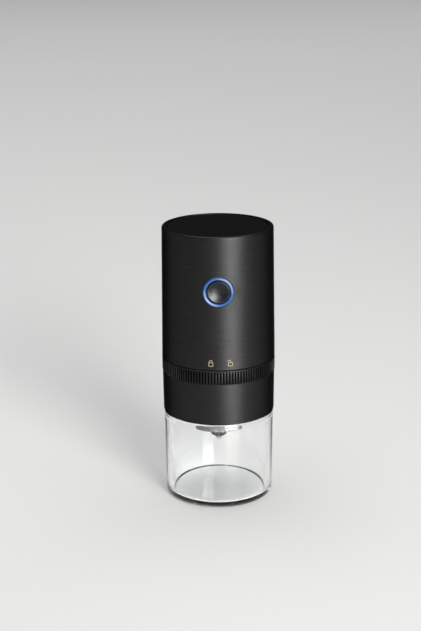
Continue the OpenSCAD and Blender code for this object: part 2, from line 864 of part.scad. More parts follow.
module top_cover() {
    z0 = z_shelf + ledge_t;
    z1 = z_top - cover_drop;
    edge = 0.4;
    peg_r = 1.3;
    peg_h = 5;
    color("#131315") {
        rotate_extrude()
            polygon([[0, z0], [cover_r, z0], [cover_r, z1 - edge], [cover_r - edge, z1], [0, z1]]);
        for (a = [post_angle, 180 - post_angle, 180 + post_angle, -post_angle])
            rotate([0, 0, a]) translate([post_pcr, 0, 0]) disc(peg_r, z_shelf - peg_h, z0 + eps);
    }
}

module inner_frame() {
    peg_hole_r = 1.35;
    peg_hole_h = 5.5;
    notch = 0.3;
    slot_w = board_w + 2 * notch;
    window_w = 2 * light_flange_r + 4 * notch;
    boss_roof = 1;
    clamp_low = z_clamp - cut;
    clamp_top = z_clamp + frame_t + cut;
    posts = [post_angle, 180 - post_angle, 180 + post_angle, -post_angle];
    color("#3a3a3c")
        difference() {
            union() {
                disc(frame_r, z_base_top, z_base_top + frame_t);
                disc(clamp_r, z_clamp, z_clamp + frame_t);
                for (a = posts)
                    rotate([0, 0, a]) translate([post_pcr, 0, 0]) disc(post_r, z_base_top, z_shelf);
                around(4, frame_screw_pcr, frame_screw_angle)
                    disc(boss_r, z_base_top, z_base_top + frame_boss_h);
            }
            disc(gearbox_r + bolt_gap, z_base_top - cut, z_base_top + frame_t + cut);
            disc(motor_r + stop_gap, clamp_low, clamp_top);
            for (side = [-1, 1])
                translate([side * cell_x, 0, 0]) disc(cell_r + stop_gap, clamp_low, clamp_top);
            translate([-slot_w / 2, -board_front - notch, clamp_low])
                cube([slot_w, board_t + 2 * notch, clamp_top - clamp_low]);
            translate([-window_w / 2, -head_r, clamp_low])
                cube([window_w, head_r - board_front, clamp_top - clamp_low]);
            around(4, frame_screw_pcr, frame_screw_angle)
                disc(screw_r + fit_gap, z_base_top - cut, z_base_top + frame_boss_h - boss_roof);
            for (a = posts)
                rotate([0, 0, a])
                    translate([post_pcr, 0, 0])
                        disc(peg_hole_r, z_shelf - peg_hole_h, z_shelf + cut);
        }
}

module frame_screws() {
    tip_gap = 2;
    color("silver")
        around(4, frame_screw_pcr, frame_screw_angle)
            screw_up(z_head, base_t + frame_boss_h - tip_gap);
}

module shaft_seal() {
    color("#404040") tube(seal_r, shaft_r + seal_gap, z_seal, z_seal + seal_w);
}

// Groove that the bearing's balls run in
module ball_track() {
    rotate_extrude()
        translate([ball_pcr, z_bearing + bearing_w / 2]) circle(r = ball_r + ball_gap);
}

module bearing_outer_race() {
    color("silver")
        difference() {
            tube(bearing_r, bearing_r - race_t, z_bearing, z_bearing + bearing_w);
            ball_track();
        }
}

module bearing_inner_race() {
    color("silver")
        difference() {
            tube(shaft_r + race_t, shaft_r + fit_gap, z_bearing, z_bearing + bearing_w);
            ball_track();
        }
}

module bearing_balls() {
    color("gainsboro")
        around(balls, ball_pcr, 0) translate([0, 0, z_bearing + bearing_w / 2]) sphere(r = ball_r);
}

module gearbox_can() {
    ring_pitch_r = gear_m * ring_teeth / 2;
    can_in_r = ring_pitch_r + dedendum + seat_gap;
    seat_wall = 1.5;
    seat_join = 0.5;
    hole_w = 1;
    z_teeth = z_gears - ring_gap;
    color("#9a9a9a")
        difference() {
            union() {
                difference() {
                    disc(gearbox_r, z_base_top, z_cover);
                    disc(can_in_r, z_bearing, z_teeth);
                    translate([0, 0, z_teeth - eps])
                        linear_extrude(z_cover - z_teeth + cut)
                            rotate(180 / ring_teeth)
                                polygon(gear_points(ring_teeth, dedendum, addendum, -backlash));
                }
                disc(bearing_r + seat_wall, z_bearing - seat_join, z_bearing + bearing_w);
            }
            disc(bearing_r + fit_gap, z_bearing, z_bearing + bearing_w + cut);
            disc(shaft_r + hole_w, z_base_top - cut, z_bearing + cut);
            around(4, gearbox_screw_pcr, 0) disc(screw_r + fit_gap, z_base_top - cut, z_bearing + cut);
        }
}

module gearbox_screws() {
    color("silver") around(4, gearbox_screw_pcr, 0) screw_up(z_head, base_t + floor_t);
}

module gearbox_cover() {
    color("#9a9a9a")
        difference() {
            disc(gearbox_r, z_cover, z_motor);
            disc(front_bush_r + bolt_gap, z_cover - cut, z_motor + cut);
            around(2, motor_screw_pcr, 0) disc(screw_r + bolt_gap, z_cover - cut, z_motor + cut);
            around(2, motor_screw_pcr, 0)
                disc(screw_head_r + stop_gap, z_cover - cut, z_cover + motor_head_h);
        }
}

module motor_screws() {
    color("silver")
        around(2, motor_screw_pcr, 0) {
            disc(screw_head_r, z_cover + stop_gap, z_cover + motor_head_h);
            disc(screw_r, z_cover + motor_head_h / 2, z_motor + can_front);
        }
}

module motor_can() {
    color("#b8b8b8")
        difference() {
            disc(motor_r, z_motor, z_motor_top);
            disc(motor_r - can_wall, z_motor + can_front, z_motor_top + cut);
            disc(front_bush_r + fit_gap, z_motor - cut, z_motor + can_front + cut);
            around(2, motor_screw_pcr, 0) disc(screw_r + fit_gap, z_motor - cut, z_motor + can_front + cut);
        }
}

module motor_magnets() {
    magnet_t = 1.75;
    magnet_r = motor_r - can_wall - fit_gap;
    magnet_angle = 130;
    over = 2;
    color("#4b4b4b")
        for (a = [0, 180])
            arc_block(magnet_r - magnet_t, magnet_r, z_core - over, z_core_top + over, a, magnet_angle);
}

module motor_bushes() {
    nose_h = 1.2;
    tail_h = 2;
    color("goldenrod") {
        tube(front_bush_r, motor_shaft_r + run_gap, z_motor - nose_h, z_motor + tail_h);
        tube(rear_bush_r, motor_shaft_r + run_gap, z_motor_top + ring_gap, z_motor_top + endcap_t);
    }
}

module motor_endcap() {
    color("#e6e2d6")
        difference() {
            disc(motor_r, z_motor_top, z_motor_top + endcap_t);
            disc(rear_bush_r + fit_gap, z_motor_top - cut, z_motor_top + endcap_t + cut);
        }
}

module motor_brushes() {
    brush_len = 5;
    brush_w = 2.4;
    brush_h = 4;
    brush_x = 6;
    color("#5a4a3a")
        for (side = [-1, 1])
            translate([side * brush_x - brush_len / 2, -brush_w / 2, z_motor_top - brush_h])
                cube([brush_len, brush_w, brush_h]);
}

module motor_terminals() {
    tag_w = 2.4;
    tag_t = 0.5;
    tag_x = 7;
    color("goldenrod")
        for (side = [-1, 1])
            translate([side * tag_x - tag_w / 2, -tag_t / 2, z_motor_top + endcap_t])
                cube([tag_w, tag_t, tag_h]);
}

module rotor_core() {
    air_gap = 2.4;
    core_r = motor_r - can_wall - air_gap;
    slot_w = 1.6;
    slot_depth = 4.5;
    color("#7a7a7e")
        difference() {
            tube(core_r, motor_shaft_r + fit_gap, z_core, z_core_top);
            for (i = [0:2])
                rotate([0, 0, 120 * i])
                    translate([core_r - slot_depth, -slot_w / 2, z_core - cut])
                        cube([slot_depth + cut, slot_w, z_core_top - z_core + 2 * cut]);
        }
}

module rotor_windings() {
    winding_in_r = 3;
    color("#b87333") {
        tube(winding_r, winding_in_r, z_core - winding_h, z_core);
        tube(winding_r, winding_in_r, z_core_top, z_core_top + winding_h);
    }
}

module commutator() {
    commutator_r = 3.2;
    below = 0.6;
    height = 3.6;
    z1 = z_motor_top - below;
    color("#b87333") tube(commutator_r, motor_shaft_r + fit_gap, z1 - height, z1);
}

module motor_shaft() {
    tail = 0.6;
    color("gainsboro") disc(motor_shaft_r, z_gears, z_motor_top + endcap_t + tail);
}

module sun_pinion() {
    color("silver")
        difference() {
            translate([0, 0, z_gears])
                linear_extrude(gear_w)
                    polygon(gear_points(sun_teeth, addendum, dedendum, backlash));
            disc(motor_shaft_r + fit_gap, z_gears - cut, z_gears_top + cut);
        }
}

module planet_carrier() {
    rim = 2.6;
    z1 = z_carrier + carrier_t;
    color("#a8a8a8")
        difference() {
            disc(planet_x + rim, z_carrier, z1);
            disc(shaft_r + fit_gap, z_carrier - cut, z1 + cut);
            around(planets, planet_x, 0) disc(planet_pin_r + fit_gap, z_carrier - cut, z1 + cut);
        }
}

module planet_pins() {
    color("gainsboro") around(planets, planet_x, 0) disc(planet_pin_r, z_carrier, z_gears_top + gear_gap);
}

// Planet gear in mesh with the sun and the ring
module planet_gear(turn) {
    color("#c8c4b4")
        rotate([0, 0, turn])
            translate([planet_x, 0, 0])
                difference() {
                    translate([0, 0, z_gears])
                        rotate([0, 0, 180 / planet_teeth])
                            linear_extrude(gear_w)
                                polygon(gear_points(planet_teeth, addendum, dedendum, backlash));
                    disc(planet_pin_r + run_gap, z_gears - cut, z_gears_top + cut);
                }
}

module planet_gear_1() {
    planet_gear(0);
}

module planet_gear_2() {
    planet_gear(120);
}

module planet_gear_3() {
    planet_gear(240);
}

module drive_shaft() {
    hex_below = 0.4;
    hex_join = 0.2;
    z_hex_top = z_seal - hex_below;
    shoulder_w = 0.8;
    shoulder_r = shaft_r + shoulder_w;
    color("gainsboro") {
        disc(shaft_r, z_hex_top, z_carrier + carrier_t);
        disc(shoulder_r, z_bearing + bearing_w, z_carrier);
        translate([0, 0, z_hex_low]) cylinder(r = shaft_r, h = z_hex_top - z_hex_low + hex_join, $fn = 6);
    }
}

module battery(side) {
    cap_h = 0.8;
    pole_r = 3;
    color("steelblue") translate([side * cell_x, 0, 0]) {
        disc(cell_r, z_cells, z_strap - cap_h);
        disc(pole_r, z_strap - cap_h - eps, z_strap);
    }
}

module battery_left() {
    battery(-1);
}

module battery_right() {
    battery(1);
}

module cell_strap() {
    strap_w = 6;
    strap_t = 0.3;
    color("silver") {
        translate([-cell_x - strap_w / 2, -strap_w / 2, z_bridge])
            cube([2 * cell_x + strap_w, strap_w, strap_t]);
        for (side = [-1, 1])
            translate([side * cell_x - strap_w / 2, -strap_w / 2, z_strap])
                cube([strap_w, strap_w, z_bridge - z_strap + strap_t]);
    }
}

module control_board() {
    color("darkgreen") translate([-board_w / 2, -board_front, z_board]) cube([board_w, board_t, board_h]);
}

module tact_switch() {
    color("#303030")
        at_button()
            difference() {
                translate([-switch_w / 2, -switch_w / 2, board_front]) cube([switch_w, switch_w, switch_t]);
                disc(plunger_r + bolt_gap, board_front + switch_floor, switch_front + cut);
            }
}

module switch_plunger() {
    z0 = board_front + switch_floor + button_travel + stop_gap;
    color("black") at_button() disc(plunger_r, z0, stem_back);
}

module ring_leds() {
    led_pcr = (light_r + light_in_r) / 2;
    color("white")
        at_button()
            around(leds, led_pcr, led_angle)
                translate([-led_w / 2, -led_w / 2, board_front]) cube([led_w, led_w, led_t]);
}

module charge_board() {
    color("darkgreen")
        translate([-charge_board_w / 2, charge_board_y - board_t, z_cells])
            cube([charge_board_w, board_t, charge_board_h]);
}

module charge_socket() {
    tongue_w = 6.64;
    tongue_t = 0.7;
    tongue_in = 0.8;
    socket_back = 1;
    tongue_y = charge_board_y + socket_back / 2;
    hole_w = socket_w - 2 * socket_wall;
    hole_t = socket_t - 2 * socket_wall;
    color("silver")
        difference() {
            stadium(socket_w, socket_t, charge_board_y, socket_front);
            stadium(hole_w, hole_t, charge_board_y + socket_back, socket_front + cut);
        }
    color("#202020")
        translate([-tongue_w / 2, tongue_y, z_socket - tongue_t / 2])
            cube([tongue_w, socket_front - tongue_in - tongue_y, tongue_t]);
}

module light_ring() {
    edge = min(light_edge_r, (light_r - light_in_r) / 2 - eps);
    color("#8fb4ff")
        at_button()
            rotate_extrude()
                polygon(concat(
                    [[light_lip_r, lip_back], [light_in_r, lip_back], [light_in_r, light_back]],
                    [[light_r, light_back], [light_r, light_flange_front - light_flange_t]],
                    [[light_flange_r, light_flange_front - light_flange_t]],
                    [[light_flange_r, light_flange_front], [light_r, light_flange_front]],
                    arc(light_r - edge, light_front - edge, edge, 0, 90, 6),
                    arc(light_in_r + edge, light_front - edge, edge, 90, 180, 6),
                    [[light_in_r, lip_front], [light_lip_r, lip_front]]
                ));
}

module button_cap() {
    edge = 0.35;
    dish_rim = 0.9;
    dish_r = cap_r - dish_rim;
    sphere_r = (pow(dish_r, 2) + pow(dish_depth, 2)) / (2 * dish_depth);
    color("#5d6570")
        at_button()
            difference() {
                rotate_extrude()
                    polygon([[0, cap_back], [cap_r, cap_back], [cap_r, cap_front - edge],
                        [cap_r - edge, cap_front], [0, cap_front]]);
                translate([0, 0, cap_front - dish_depth + sphere_r]) sphere(r = sphere_r);
            }
}

module button_stem() {
    color("#2a2a2c")
        at_button() {
            disc(stem_flange_r, stem_back, stem_flange_front);
            disc(stem_neck_r, stem_flange_front - eps, cap_back);
        }
}

// Round lead swept along points that lie in a plane of constant x
module lead(x) {
    z0 = z_motor_top + endcap_t;
    y_end = -board_front + board_t;
    rise = 1.2;
    level = 2.6;
    bend = 2.4;
    dip = 0.6;
    z1 = z0 + level;
    path = [[0, z0], [0, z0 + rise], [-bend / 3, z1 - rise / 3], [-bend, z1], [-5 * bend, z1],
        [y_end + 2 * bend, z1 - dip / 3], [y_end + bend / 2, z1 - dip], [y_end, z1 - dip]];
    sides = 8;
    last = len(path) - 1;
    way = [for (i = [0:last])
        let (d = path[min(i + 1, last)] - path[max(i - 1, 0)]) d / norm(d)];
    points = [for (i = [0:last], s = [0:sides - 1])
        let (a = 360 * s / sides, side = lead_r * sin(a))
        [x + lead_r * cos(a), path[i][0] - side * way[i][1], path[i][1] + side * way[i][0]]];
    walls = [for (i = [0:last - 1], s = [0:sides - 1])
        let (p = i * sides + s, q = i * sides + (s + 1) % sides)
        each [[p, q, p + sides], [q, q + sides, p + sides]]];
    end = last * sides;
    caps = [for (s = [1:sides - 2]) each [[0, s + 1, s], [end, end + s, end + s + 1]]];
    polyhedron(points, concat(walls, caps));
}

module motor_leads() {
    color("firebrick") {
        lead(-lead_x);
        lead(lead_x);
    }
}

jar();
collar_shell();
jar_seal();
hopper();
hopper_screws();
outer_burr();
burr_carrier();
carrier_screws();
pin_guide();
lock_ring();
grind_knob();
knob_clip();
lift_pin();
inner_burr();
burr_hub();
burr_clip();
head_base();
head_shell();
top_cover();
inner_frame();
frame_screws();
shaft_seal();
bearing_outer_race();
gearbox_can();
gearbox_screws();
gearbox_cover();
motor_screws();
motor_can();
motor_magnets();
motor_bushes();
motor_brushes();
motor_endcap();
motor_terminals();
battery_left();
battery_right();
cell_strap();
control_board();
tact_switch();
ring_leds();
charge_board();
charge_socket();
light_ring();
motor_leads();
rotor_core();
rotor_windings();
motor_shaft();
commutator();
sun_pinion();
planet_carrier();
planet_pins();
drive_shaft();
bearing_inner_race();
bearing_balls();
planet_gear_1();
planet_gear_2();
planet_gear_3();
button_cap();
button_stem();
switch_plunger();
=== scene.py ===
from math import cos, pi, radians, sin

import bmesh
import bpy
from mathutils import Matrix, Vector


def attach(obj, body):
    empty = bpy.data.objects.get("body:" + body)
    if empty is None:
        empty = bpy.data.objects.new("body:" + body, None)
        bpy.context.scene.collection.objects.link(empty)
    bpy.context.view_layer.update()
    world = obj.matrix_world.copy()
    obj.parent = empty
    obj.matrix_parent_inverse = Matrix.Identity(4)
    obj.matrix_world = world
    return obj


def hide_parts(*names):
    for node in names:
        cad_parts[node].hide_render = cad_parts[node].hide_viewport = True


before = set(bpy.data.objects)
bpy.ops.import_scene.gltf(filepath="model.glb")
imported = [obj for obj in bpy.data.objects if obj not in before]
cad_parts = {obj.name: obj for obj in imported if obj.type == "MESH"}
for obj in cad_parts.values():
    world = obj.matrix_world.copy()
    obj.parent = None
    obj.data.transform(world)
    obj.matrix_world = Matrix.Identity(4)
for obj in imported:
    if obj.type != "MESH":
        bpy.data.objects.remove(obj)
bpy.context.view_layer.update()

# The jar is pressed clear glass with a stout wall and a flat floor. Its neck is a push
# fit in the collar, so the shoulder shows as a bright line right under the collar.
MM = 0.001
MERGE_M = 1e-7
SHARP_FROM = radians(32)
ROUND_STEPS = 6
JAR_TURNS = 192
JAR_CORNERS = [
    # radius, height, rounding
    (0, 0, 0), (31.5, 0, 2.0), (32.2, 51.4, 1.2), (30, 51.4, 0.3), (30, 60, 0.7),
    (27.8, 60, 0.7), (27.8, 50.4, 1.2), (28.8, 47.8, 1.2), (28.1, 2.0, 2.8), (0, 2.0, 0),
]


class Wire:
    """A shader socket; Python's operators on it add Math nodes."""

    def __init__(self, finish, socket):
        self.finish = finish
        self.socket = socket

    def math(self, operation, *values):
        return self.finish.node("ShaderNodeMath", {"operation": operation}, dict(enumerate(values)))

    def __add__(self, other):
        return self.math("ADD", self, other)

    def __sub__(self, other):
        return self.math("SUBTRACT", self, other)

    def __rsub__(self, other):
        return self.math("SUBTRACT", other, self)

    def __mul__(self, other):
        return self.math("MULTIPLY", self, other)

    def __gt__(self, other):
        return self.math("GREATER_THAN", self, other)

    def __lt__(self, other):
        return self.math("LESS_THAN", self, other)

    def __abs__(self):
        return self.math("ABSOLUTE", self)

    __radd__ = __add__
    __rmul__ = __mul__


class Finish:
    """A material: one Principled shader and the nodes that feed it."""

    def __init__(self, name, settings):
        self.material = bpy.data.materials.new(name)
        self.material.use_nodes = True
        self.tree = self.material.node_tree
        self.shader = self.tree.nodes["Principled BSDF"]
        for socket, value in settings.items():
            self.shader.inputs[socket].default_value = value
        self.place = self.node("ShaderNodeTexCoord", output="Object")

    def join(self, socket, value):
        if isinstance(value, Wire):
            self.tree.links.new(value.socket, socket)
        else:
            socket.default_value = value

    def node(self, kind, settings=None, inputs=None, output=0):
        made = self.tree.nodes.new(kind)
        for key, value in (settings or {}).items():
            setattr(made, key, value)
        for key, value in (inputs or {}).items():
            self.join(made.inputs[key], value)
        return Wire(self, made.outputs[output])

    def feed(self, socket, value):
        self.join(self.shader.inputs[socket], value)

    def part(self, axis):
        """One coordinate of the object, in metres."""
        return self.node("ShaderNodeSeparateXYZ", None, {0: self.place}, axis)

    def from_axis(self, centre, flat):
        """Distance in metres from the axis through centre that flat leaves out."""
        offset = self.node("ShaderNodeVectorMath", {"operation": "SUBTRACT"}, {0: self.place, 1: centre})
        across = self.node("ShaderNodeVectorMath", {"operation": "MULTIPLY"}, {0: offset, 1: flat})
        return self.node("ShaderNodeVectorMath", {"operation": "LENGTH"}, {0: across}, "Value")

    def noise(self, size_mm, detail, stretch=(1, 1, 1)):
        """Soft noise, 0 to 1, with features of about that size."""
        spread = self.node("ShaderNodeMapping", None, {"Vector": self.place, "Scale": stretch})
        return self.node(
            "ShaderNodeTexNoise", None, {"Vector": spread, "Scale": 1 / (size_mm * MM), "Detail": detail}
        )

    def ramp(self, value, low, high, start=0.0, end=1.0):
        """Value from low to high, turned into start to end and held there."""
        sockets = {0: value, 1: low, 2: high, 3: start, 4: end}
        return self.node("ShaderNodeMapRange", None, sockets)

    def tint(self, mask, first, second):
        """Colour from first to second as mask goes from 0 to 1."""
        return self.node("ShaderNodeMix", {"data_type": "RGBA"}, {0: mask, 6: first, 7: second}, 2)

    def bump(self, height, depth_mm, strength=1.0):
        sockets = {"Height": height, "Distance": depth_mm * MM, "Strength": strength}
        self.feed("Normal", self.node("ShaderNodeBump", None, sockets))


def shade(colour, factor):
    """The colour made darker or lighter, with full alpha."""
    return (colour[0] * factor, colour[1] * factor, colour[2] * factor, 1)


def spin_outline(corners, turns):
    """A bmesh of the outline's corners, rounded and spun about Z; sizes in millimetres."""
    bm = bmesh.new()
    line = [bm.verts.new((r * MM, 0, z * MM)) for r, z, _ in corners]
    hollow = corners[0][0] > 0
    following = line[1:] + line[:1] if hollow else line[1:]
    for first, second in zip(line, following):
        bm.edges.new((first, second))
    for vert, (_, _, rounding) in zip(line, corners):
        if rounding:
            bmesh.ops.bevel(bm, geom=[vert], offset=rounding * MM, offset_type="OFFSET", affect="VERTICES",
                            segments=ROUND_STEPS, profile=0.5, material=-1)
    bmesh.ops.spin(bm, geom=bm.verts[:] + bm.edges[:], axis=(0, 0, 1), cent=(0, 0, 0), angle=2 * pi,
                   steps=turns, use_merge=True)
    bmesh.ops.remove_doubles(bm, verts=bm.verts[:], dist=MERGE_M)
    bmesh.ops.recalc_face_normals(bm, faces=bm.faces[:])
    return bm


def new_piece(name, bm, material, body, slot, *nodes):
    """Makes the mesh an object of its own that rides on body and stands for the CAD nodes."""
    mesh = bpy.data.meshes.new(name)
    bm.to_mesh(mesh)
    bm.free()
    mesh.shade_smooth()
    mesh.set_sharp_from_angle(angle=SHARP_FROM)
    mesh.materials.append(material)
    piece = bpy.data.objects.new(name, mesh)
    bpy.context.scene.collection.objects.link(piece)
    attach(piece, body)
    if nodes:
        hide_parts(*nodes)


def clear_glass():
    """Clear glass; lamps shine through it on what is seen inside."""
    finish = Finish("clear_glass", {"Transmission Weight": 1.0, "IOR": 1.5})
    smear = finish.noise(22, 3, (1, 1, 0.35))
    wave = finish.noise(16, 1)
    finish.feed("Base Color", finish.tint(smear, (0.975, 0.985, 0.985, 1), (1, 1, 1, 1)))
    finish.feed("Roughness", finish.ramp(smear, 0.5, 0.8, 0.0, 0.035))
    finish.bump(wave, 0.02, 0.25)
    lamp_ray = finish.node("ShaderNodeLightPath", output="Is Shadow Ray")
    seen_inside = finish.node("ShaderNodeLightPath", output="Transmission Depth") > 1.5
    passed = finish.node("ShaderNodeBsdfTransparent", None, {"Color": (0.88, 0.89, 0.89, 1)})
    solid = Wire(finish, finish.shader.outputs["BSDF"])
    surface = finish.node("ShaderNodeMixShader", None, {0: lamp_ray * seen_inside, 1: solid, 2: passed})
    finish.join(finish.tree.nodes["Material Output"].inputs["Surface"], surface)
    return finish.material


new_piece("jar_glass", spin_outline(JAR_CORNERS, JAR_TURNS), clear_glass(), "jar", "clear_glass", "jar")


# The sealing ring is soft silicone, moulded with two ribs that grip the glass neck.
# The shaft's lip seal in the head is cut from the same stuff.
def dress(material, *nodes):
    """Gives the CAD nodes this material."""
    for name in nodes:
        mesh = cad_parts[name].data
        mesh.materials.clear()
        mesh.materials.append(material)


def moulded(name, colour, roughness, grain_mm, depth_mm, shine):
    """Moulded plastic or rubber: a fine eroded grain and a slow drift in tone and gloss."""
    finish = Finish(name, {"Specular IOR Level": shine})
    drift = finish.noise(16, 2)
    grain = finish.noise(grain_mm, 3)
    finish.feed("Base Color", finish.tint(drift, shade(colour, 0.84), shade(colour, 1.16)))
    finish.feed("Roughness", drift * 0.08 + grain * 0.1 + (roughness - 0.09))
    finish.bump(grain, depth_mm)
    return finish.material


silicone = moulded("grey_silicone", (0.10, 0.10, 0.10),
                   roughness=0.62, grain_mm=0.5, depth_mm=0.01, shine=0.35)
dress(silicone, "jar_seal", "shaft_seal")

# The carrier is a matte grey moulding: a cup for the outer burr, an outlet tube below it
# and a hub on three spokes. A bronze plate in the hub guides the lift pin.
grey = moulded("grey_plastic", (0.19, 0.19, 0.187), roughness=0.5, grain_mm=0.35, depth_mm=0.015, shine=0.4)
dress(grey, "burr_carrier")


def bare_metal(name, colour, roughness, grain_mm, stretch):
    """Bare metal with drawn or sanded lines along one direction and light handling marks."""
    finish = Finish(name, {"Metallic": 1.0})
    lines = finish.noise(grain_mm, 2, stretch)
    marks = finish.noise(6, 3)
    finish.feed("Base Color", finish.tint(marks, shade(colour, 0.86), shade(colour, 1.08)))
    finish.feed("Roughness", lines * 0.14 + marks * 0.1 + (roughness - 0.12))
    finish.bump(lines, 0.004)
    return finish.material


ALONG_Z = (1, 1, 0.06)
EVEN = (1, 1, 1)
steel = bare_metal("bright_steel", (0.56, 0.56, 0.57), roughness=0.28, grain_mm=0.12, stretch=ALONG_Z)
bronze = bare_metal("sintered_bronze", (0.50, 0.34, 0.16), roughness=0.46, grain_mm=0.25, stretch=EVEN)
dress(bronze, "pin_guide", "motor_bushes", "motor_brushes", "motor_terminals")

# The carrier's screws are plated steel with a cross recess, driven up from below
# into bosses under the hopper. The other visible screws are the same kind.
SCREW_HEAD_R = 1.6
SCREW_HEAD_H = 1.4
SCREW_FLAT_R = 0.992
SCREW_DOME_R = 1.376
SCREW_DOME_H = 0.18
SCREW_SIDE_H = 0.55
SCREW_SHANK_R = 1.0
SCREW_POINT_R = 0.5
SCREW_POINT_H = 0.4
SCREW_SIDES = 24
RECESS_DEPTH = 0.75
RECESS_TAPER = 0.8
RECESS_CELLS = 6
RECESS_HALF = 0.65472


def cross_screw(bm, centre, z_face, shank_top):
    """One pan head screw whose recess faces down; z_face is the underside of its head."""
    z_low = z_face - SCREW_HEAD_H
    grid = bmesh.ops.create_grid(bm, x_segments=RECESS_CELLS, y_segments=RECESS_CELLS,
                                 size=RECESS_HALF * MM)["verts"]
    bmesh.ops.translate(bm, verts=grid, vec=(0, 0, z_low * MM))
    cells = list(dict.fromkeys(face for vert in grid for face in vert.link_faces))
    sides = dict.fromkeys(edge for vert in grid for edge in vert.link_edges)
    rim = [edge for edge in sides if edge.is_boundary]
    cell = 2 * RECESS_HALF / RECESS_CELLS * MM
    cross = []
    for face in cells:
        middle = face.calc_center_median()
        across, along = sorted((abs(middle.x), abs(middle.y)))
        if across < cell and along < 2 * cell:
            cross.append(face)
    made = list(grid)
    sunk = bmesh.ops.extrude_face_region(bm, geom=cross)["geom"]
    bmesh.ops.delete(bm, geom=cross, context="FACES_ONLY")
    floor = [item for item in sunk if isinstance(item, bmesh.types.BMVert)]
    bmesh.ops.translate(bm, verts=floor, vec=(0, 0, RECESS_DEPTH * MM))
    bmesh.ops.scale(bm, verts=floor, vec=(RECESS_TAPER, RECESS_TAPER, 1))
    made += floor
    ring = bmesh.ops.create_circle(bm, segments=SCREW_SIDES, radius=SCREW_FLAT_R * MM)["verts"]
    bmesh.ops.translate(bm, verts=ring, vec=(0, 0, z_low * MM))
    loop = list(dict.fromkeys(edge for vert in ring for edge in vert.link_edges))
    bmesh.ops.bridge_loops(bm, edges=rim + loop)
    made += ring
    outline = [
        (SCREW_DOME_R, z_low + SCREW_DOME_H), (SCREW_HEAD_R, z_low + SCREW_SIDE_H), (SCREW_HEAD_R, z_face),
        (SCREW_SHANK_R, z_face), (SCREW_SHANK_R, shank_top - SCREW_POINT_H), (SCREW_POINT_R, shank_top),
    ]
    for radius, height in outline:
        grown = bmesh.ops.extrude_edge_only(bm, edges=loop)["geom"]
        ring = [item for item in grown if isinstance(item, bmesh.types.BMVert)]
        loop = [item for item in grown if isinstance(item, bmesh.types.BMEdge)]
        wide = ring[0].co.xy.length
        bmesh.ops.scale(bm, verts=ring, vec=(radius * MM / wide, radius * MM / wide, 1))
        bmesh.ops.translate(bm, verts=ring, vec=(0, 0, height * MM - ring[0].co.z))
        made += ring
    bmesh.ops.contextual_create(bm, geom=loop)
    bmesh.ops.translate(bm, verts=made, vec=(centre[0] * MM, centre[1] * MM, 0))


def cross_screws(name, node, body, count, circle_r, turn, z_face, shank_top):
    """A circle of like screws in place of a CAD node."""
    bm = bmesh.new()
    for index in range(count):
        angle = radians(turn + 360 * index / count)
        cross_screw(bm, (circle_r * cos(angle), circle_r * sin(angle)), z_face, shank_top)
    bmesh.ops.recalc_face_normals(bm, faces=bm.faces[:])
    new_piece(name, bm, steel, body, "steel", node)


cross_screws("carrier_cross_screws", "carrier_screws", "lower_unit",
             count=3, circle_r=20.9, turn=90, z_face=58.9, shank_top=62.5)

# The grind knob is a small fluted black moulding. Its captive nut lifts the polished
# steel pin under the burr, and a spring clip holds it in the hub.
knob_black = moulded("knob_black", (0.010, 0.010, 0.011),
                     roughness=0.42, grain_mm=0.3, depth_mm=0.012, shine=0.4)
dress(knob_black, "grind_knob", "tact_switch", "button_stem", "switch_plunger")
dress(steel, "knob_clip", "lift_pin")


# The burrs are white technical ceramic with ground teeth. The inner one sits on
# a steel hub, held by a flange above and a spring clip below.
def technical_ceramic():
    finish = Finish("white_ceramic", {"Specular IOR Level": 0.5})
    cloud = finish.noise(5, 3)
    speck = finish.noise(0.25, 2)
    finish.feed("Base Color", finish.tint(cloud, (0.66, 0.63, 0.56, 1), (0.78, 0.76, 0.70, 1)))
    finish.feed("Roughness", finish.ramp(speck, 0.3, 0.7, 0.3, 0.5))
    finish.bump(speck, 0.008)
    return finish.material


dress(technical_ceramic(), "outer_burr", "inner_burr")
dress(steel, "burr_hub", "burr_clip")

# The hopper is a dark funnel with a flat flange that closes the jar from above.
# Three screws hold the flange up against bosses in the collar.
dark_plastic = moulded("dark_plastic", (0.020, 0.020, 0.021),
                       roughness=0.55, grain_mm=0.4, depth_mm=0.02, shine=0.35)
dress(dark_plastic, "hopper", "head_base", "inner_frame")
cross_screws("hopper_cross_screws", "hopper_screws", "lower_unit",
             count=3, circle_r=25.2, turn=30, z_face=60.0, shank_top=63.5)

# The collar and the head's shell are moulded in black and sprayed with a satin metallic
# coat. It is brushed round, so its one broad highlight is broken by fine level streaks.
DARK_EDGE = (0.2, 0.2, 0.2, 1)
ROUND_Z = (0.05, 0.05, 1)


def satin_coat(name, colour):
    """A sprayed coat with dark metal flake, which stays dark where it is seen edge on."""
    finish = Finish(name, {"Metallic": 1.0, "Specular Tint": DARK_EDGE})
    brushed = finish.noise(0.5, 2, ROUND_Z)
    grain = finish.noise(0.28, 3)
    touch = finish.noise(9, 3)
    finish.feed("Base Color", finish.tint(brushed, shade(colour, 0.74), shade(colour, 1.26)))
    finish.feed("Roughness", touch * 0.05 + grain * 0.06 + 0.36)
    finish.bump(grain, 0.01)
    return finish.material


dress(satin_coat("satin_black", (0.0355, 0.0355, 0.036)), "collar_shell", "head_shell")

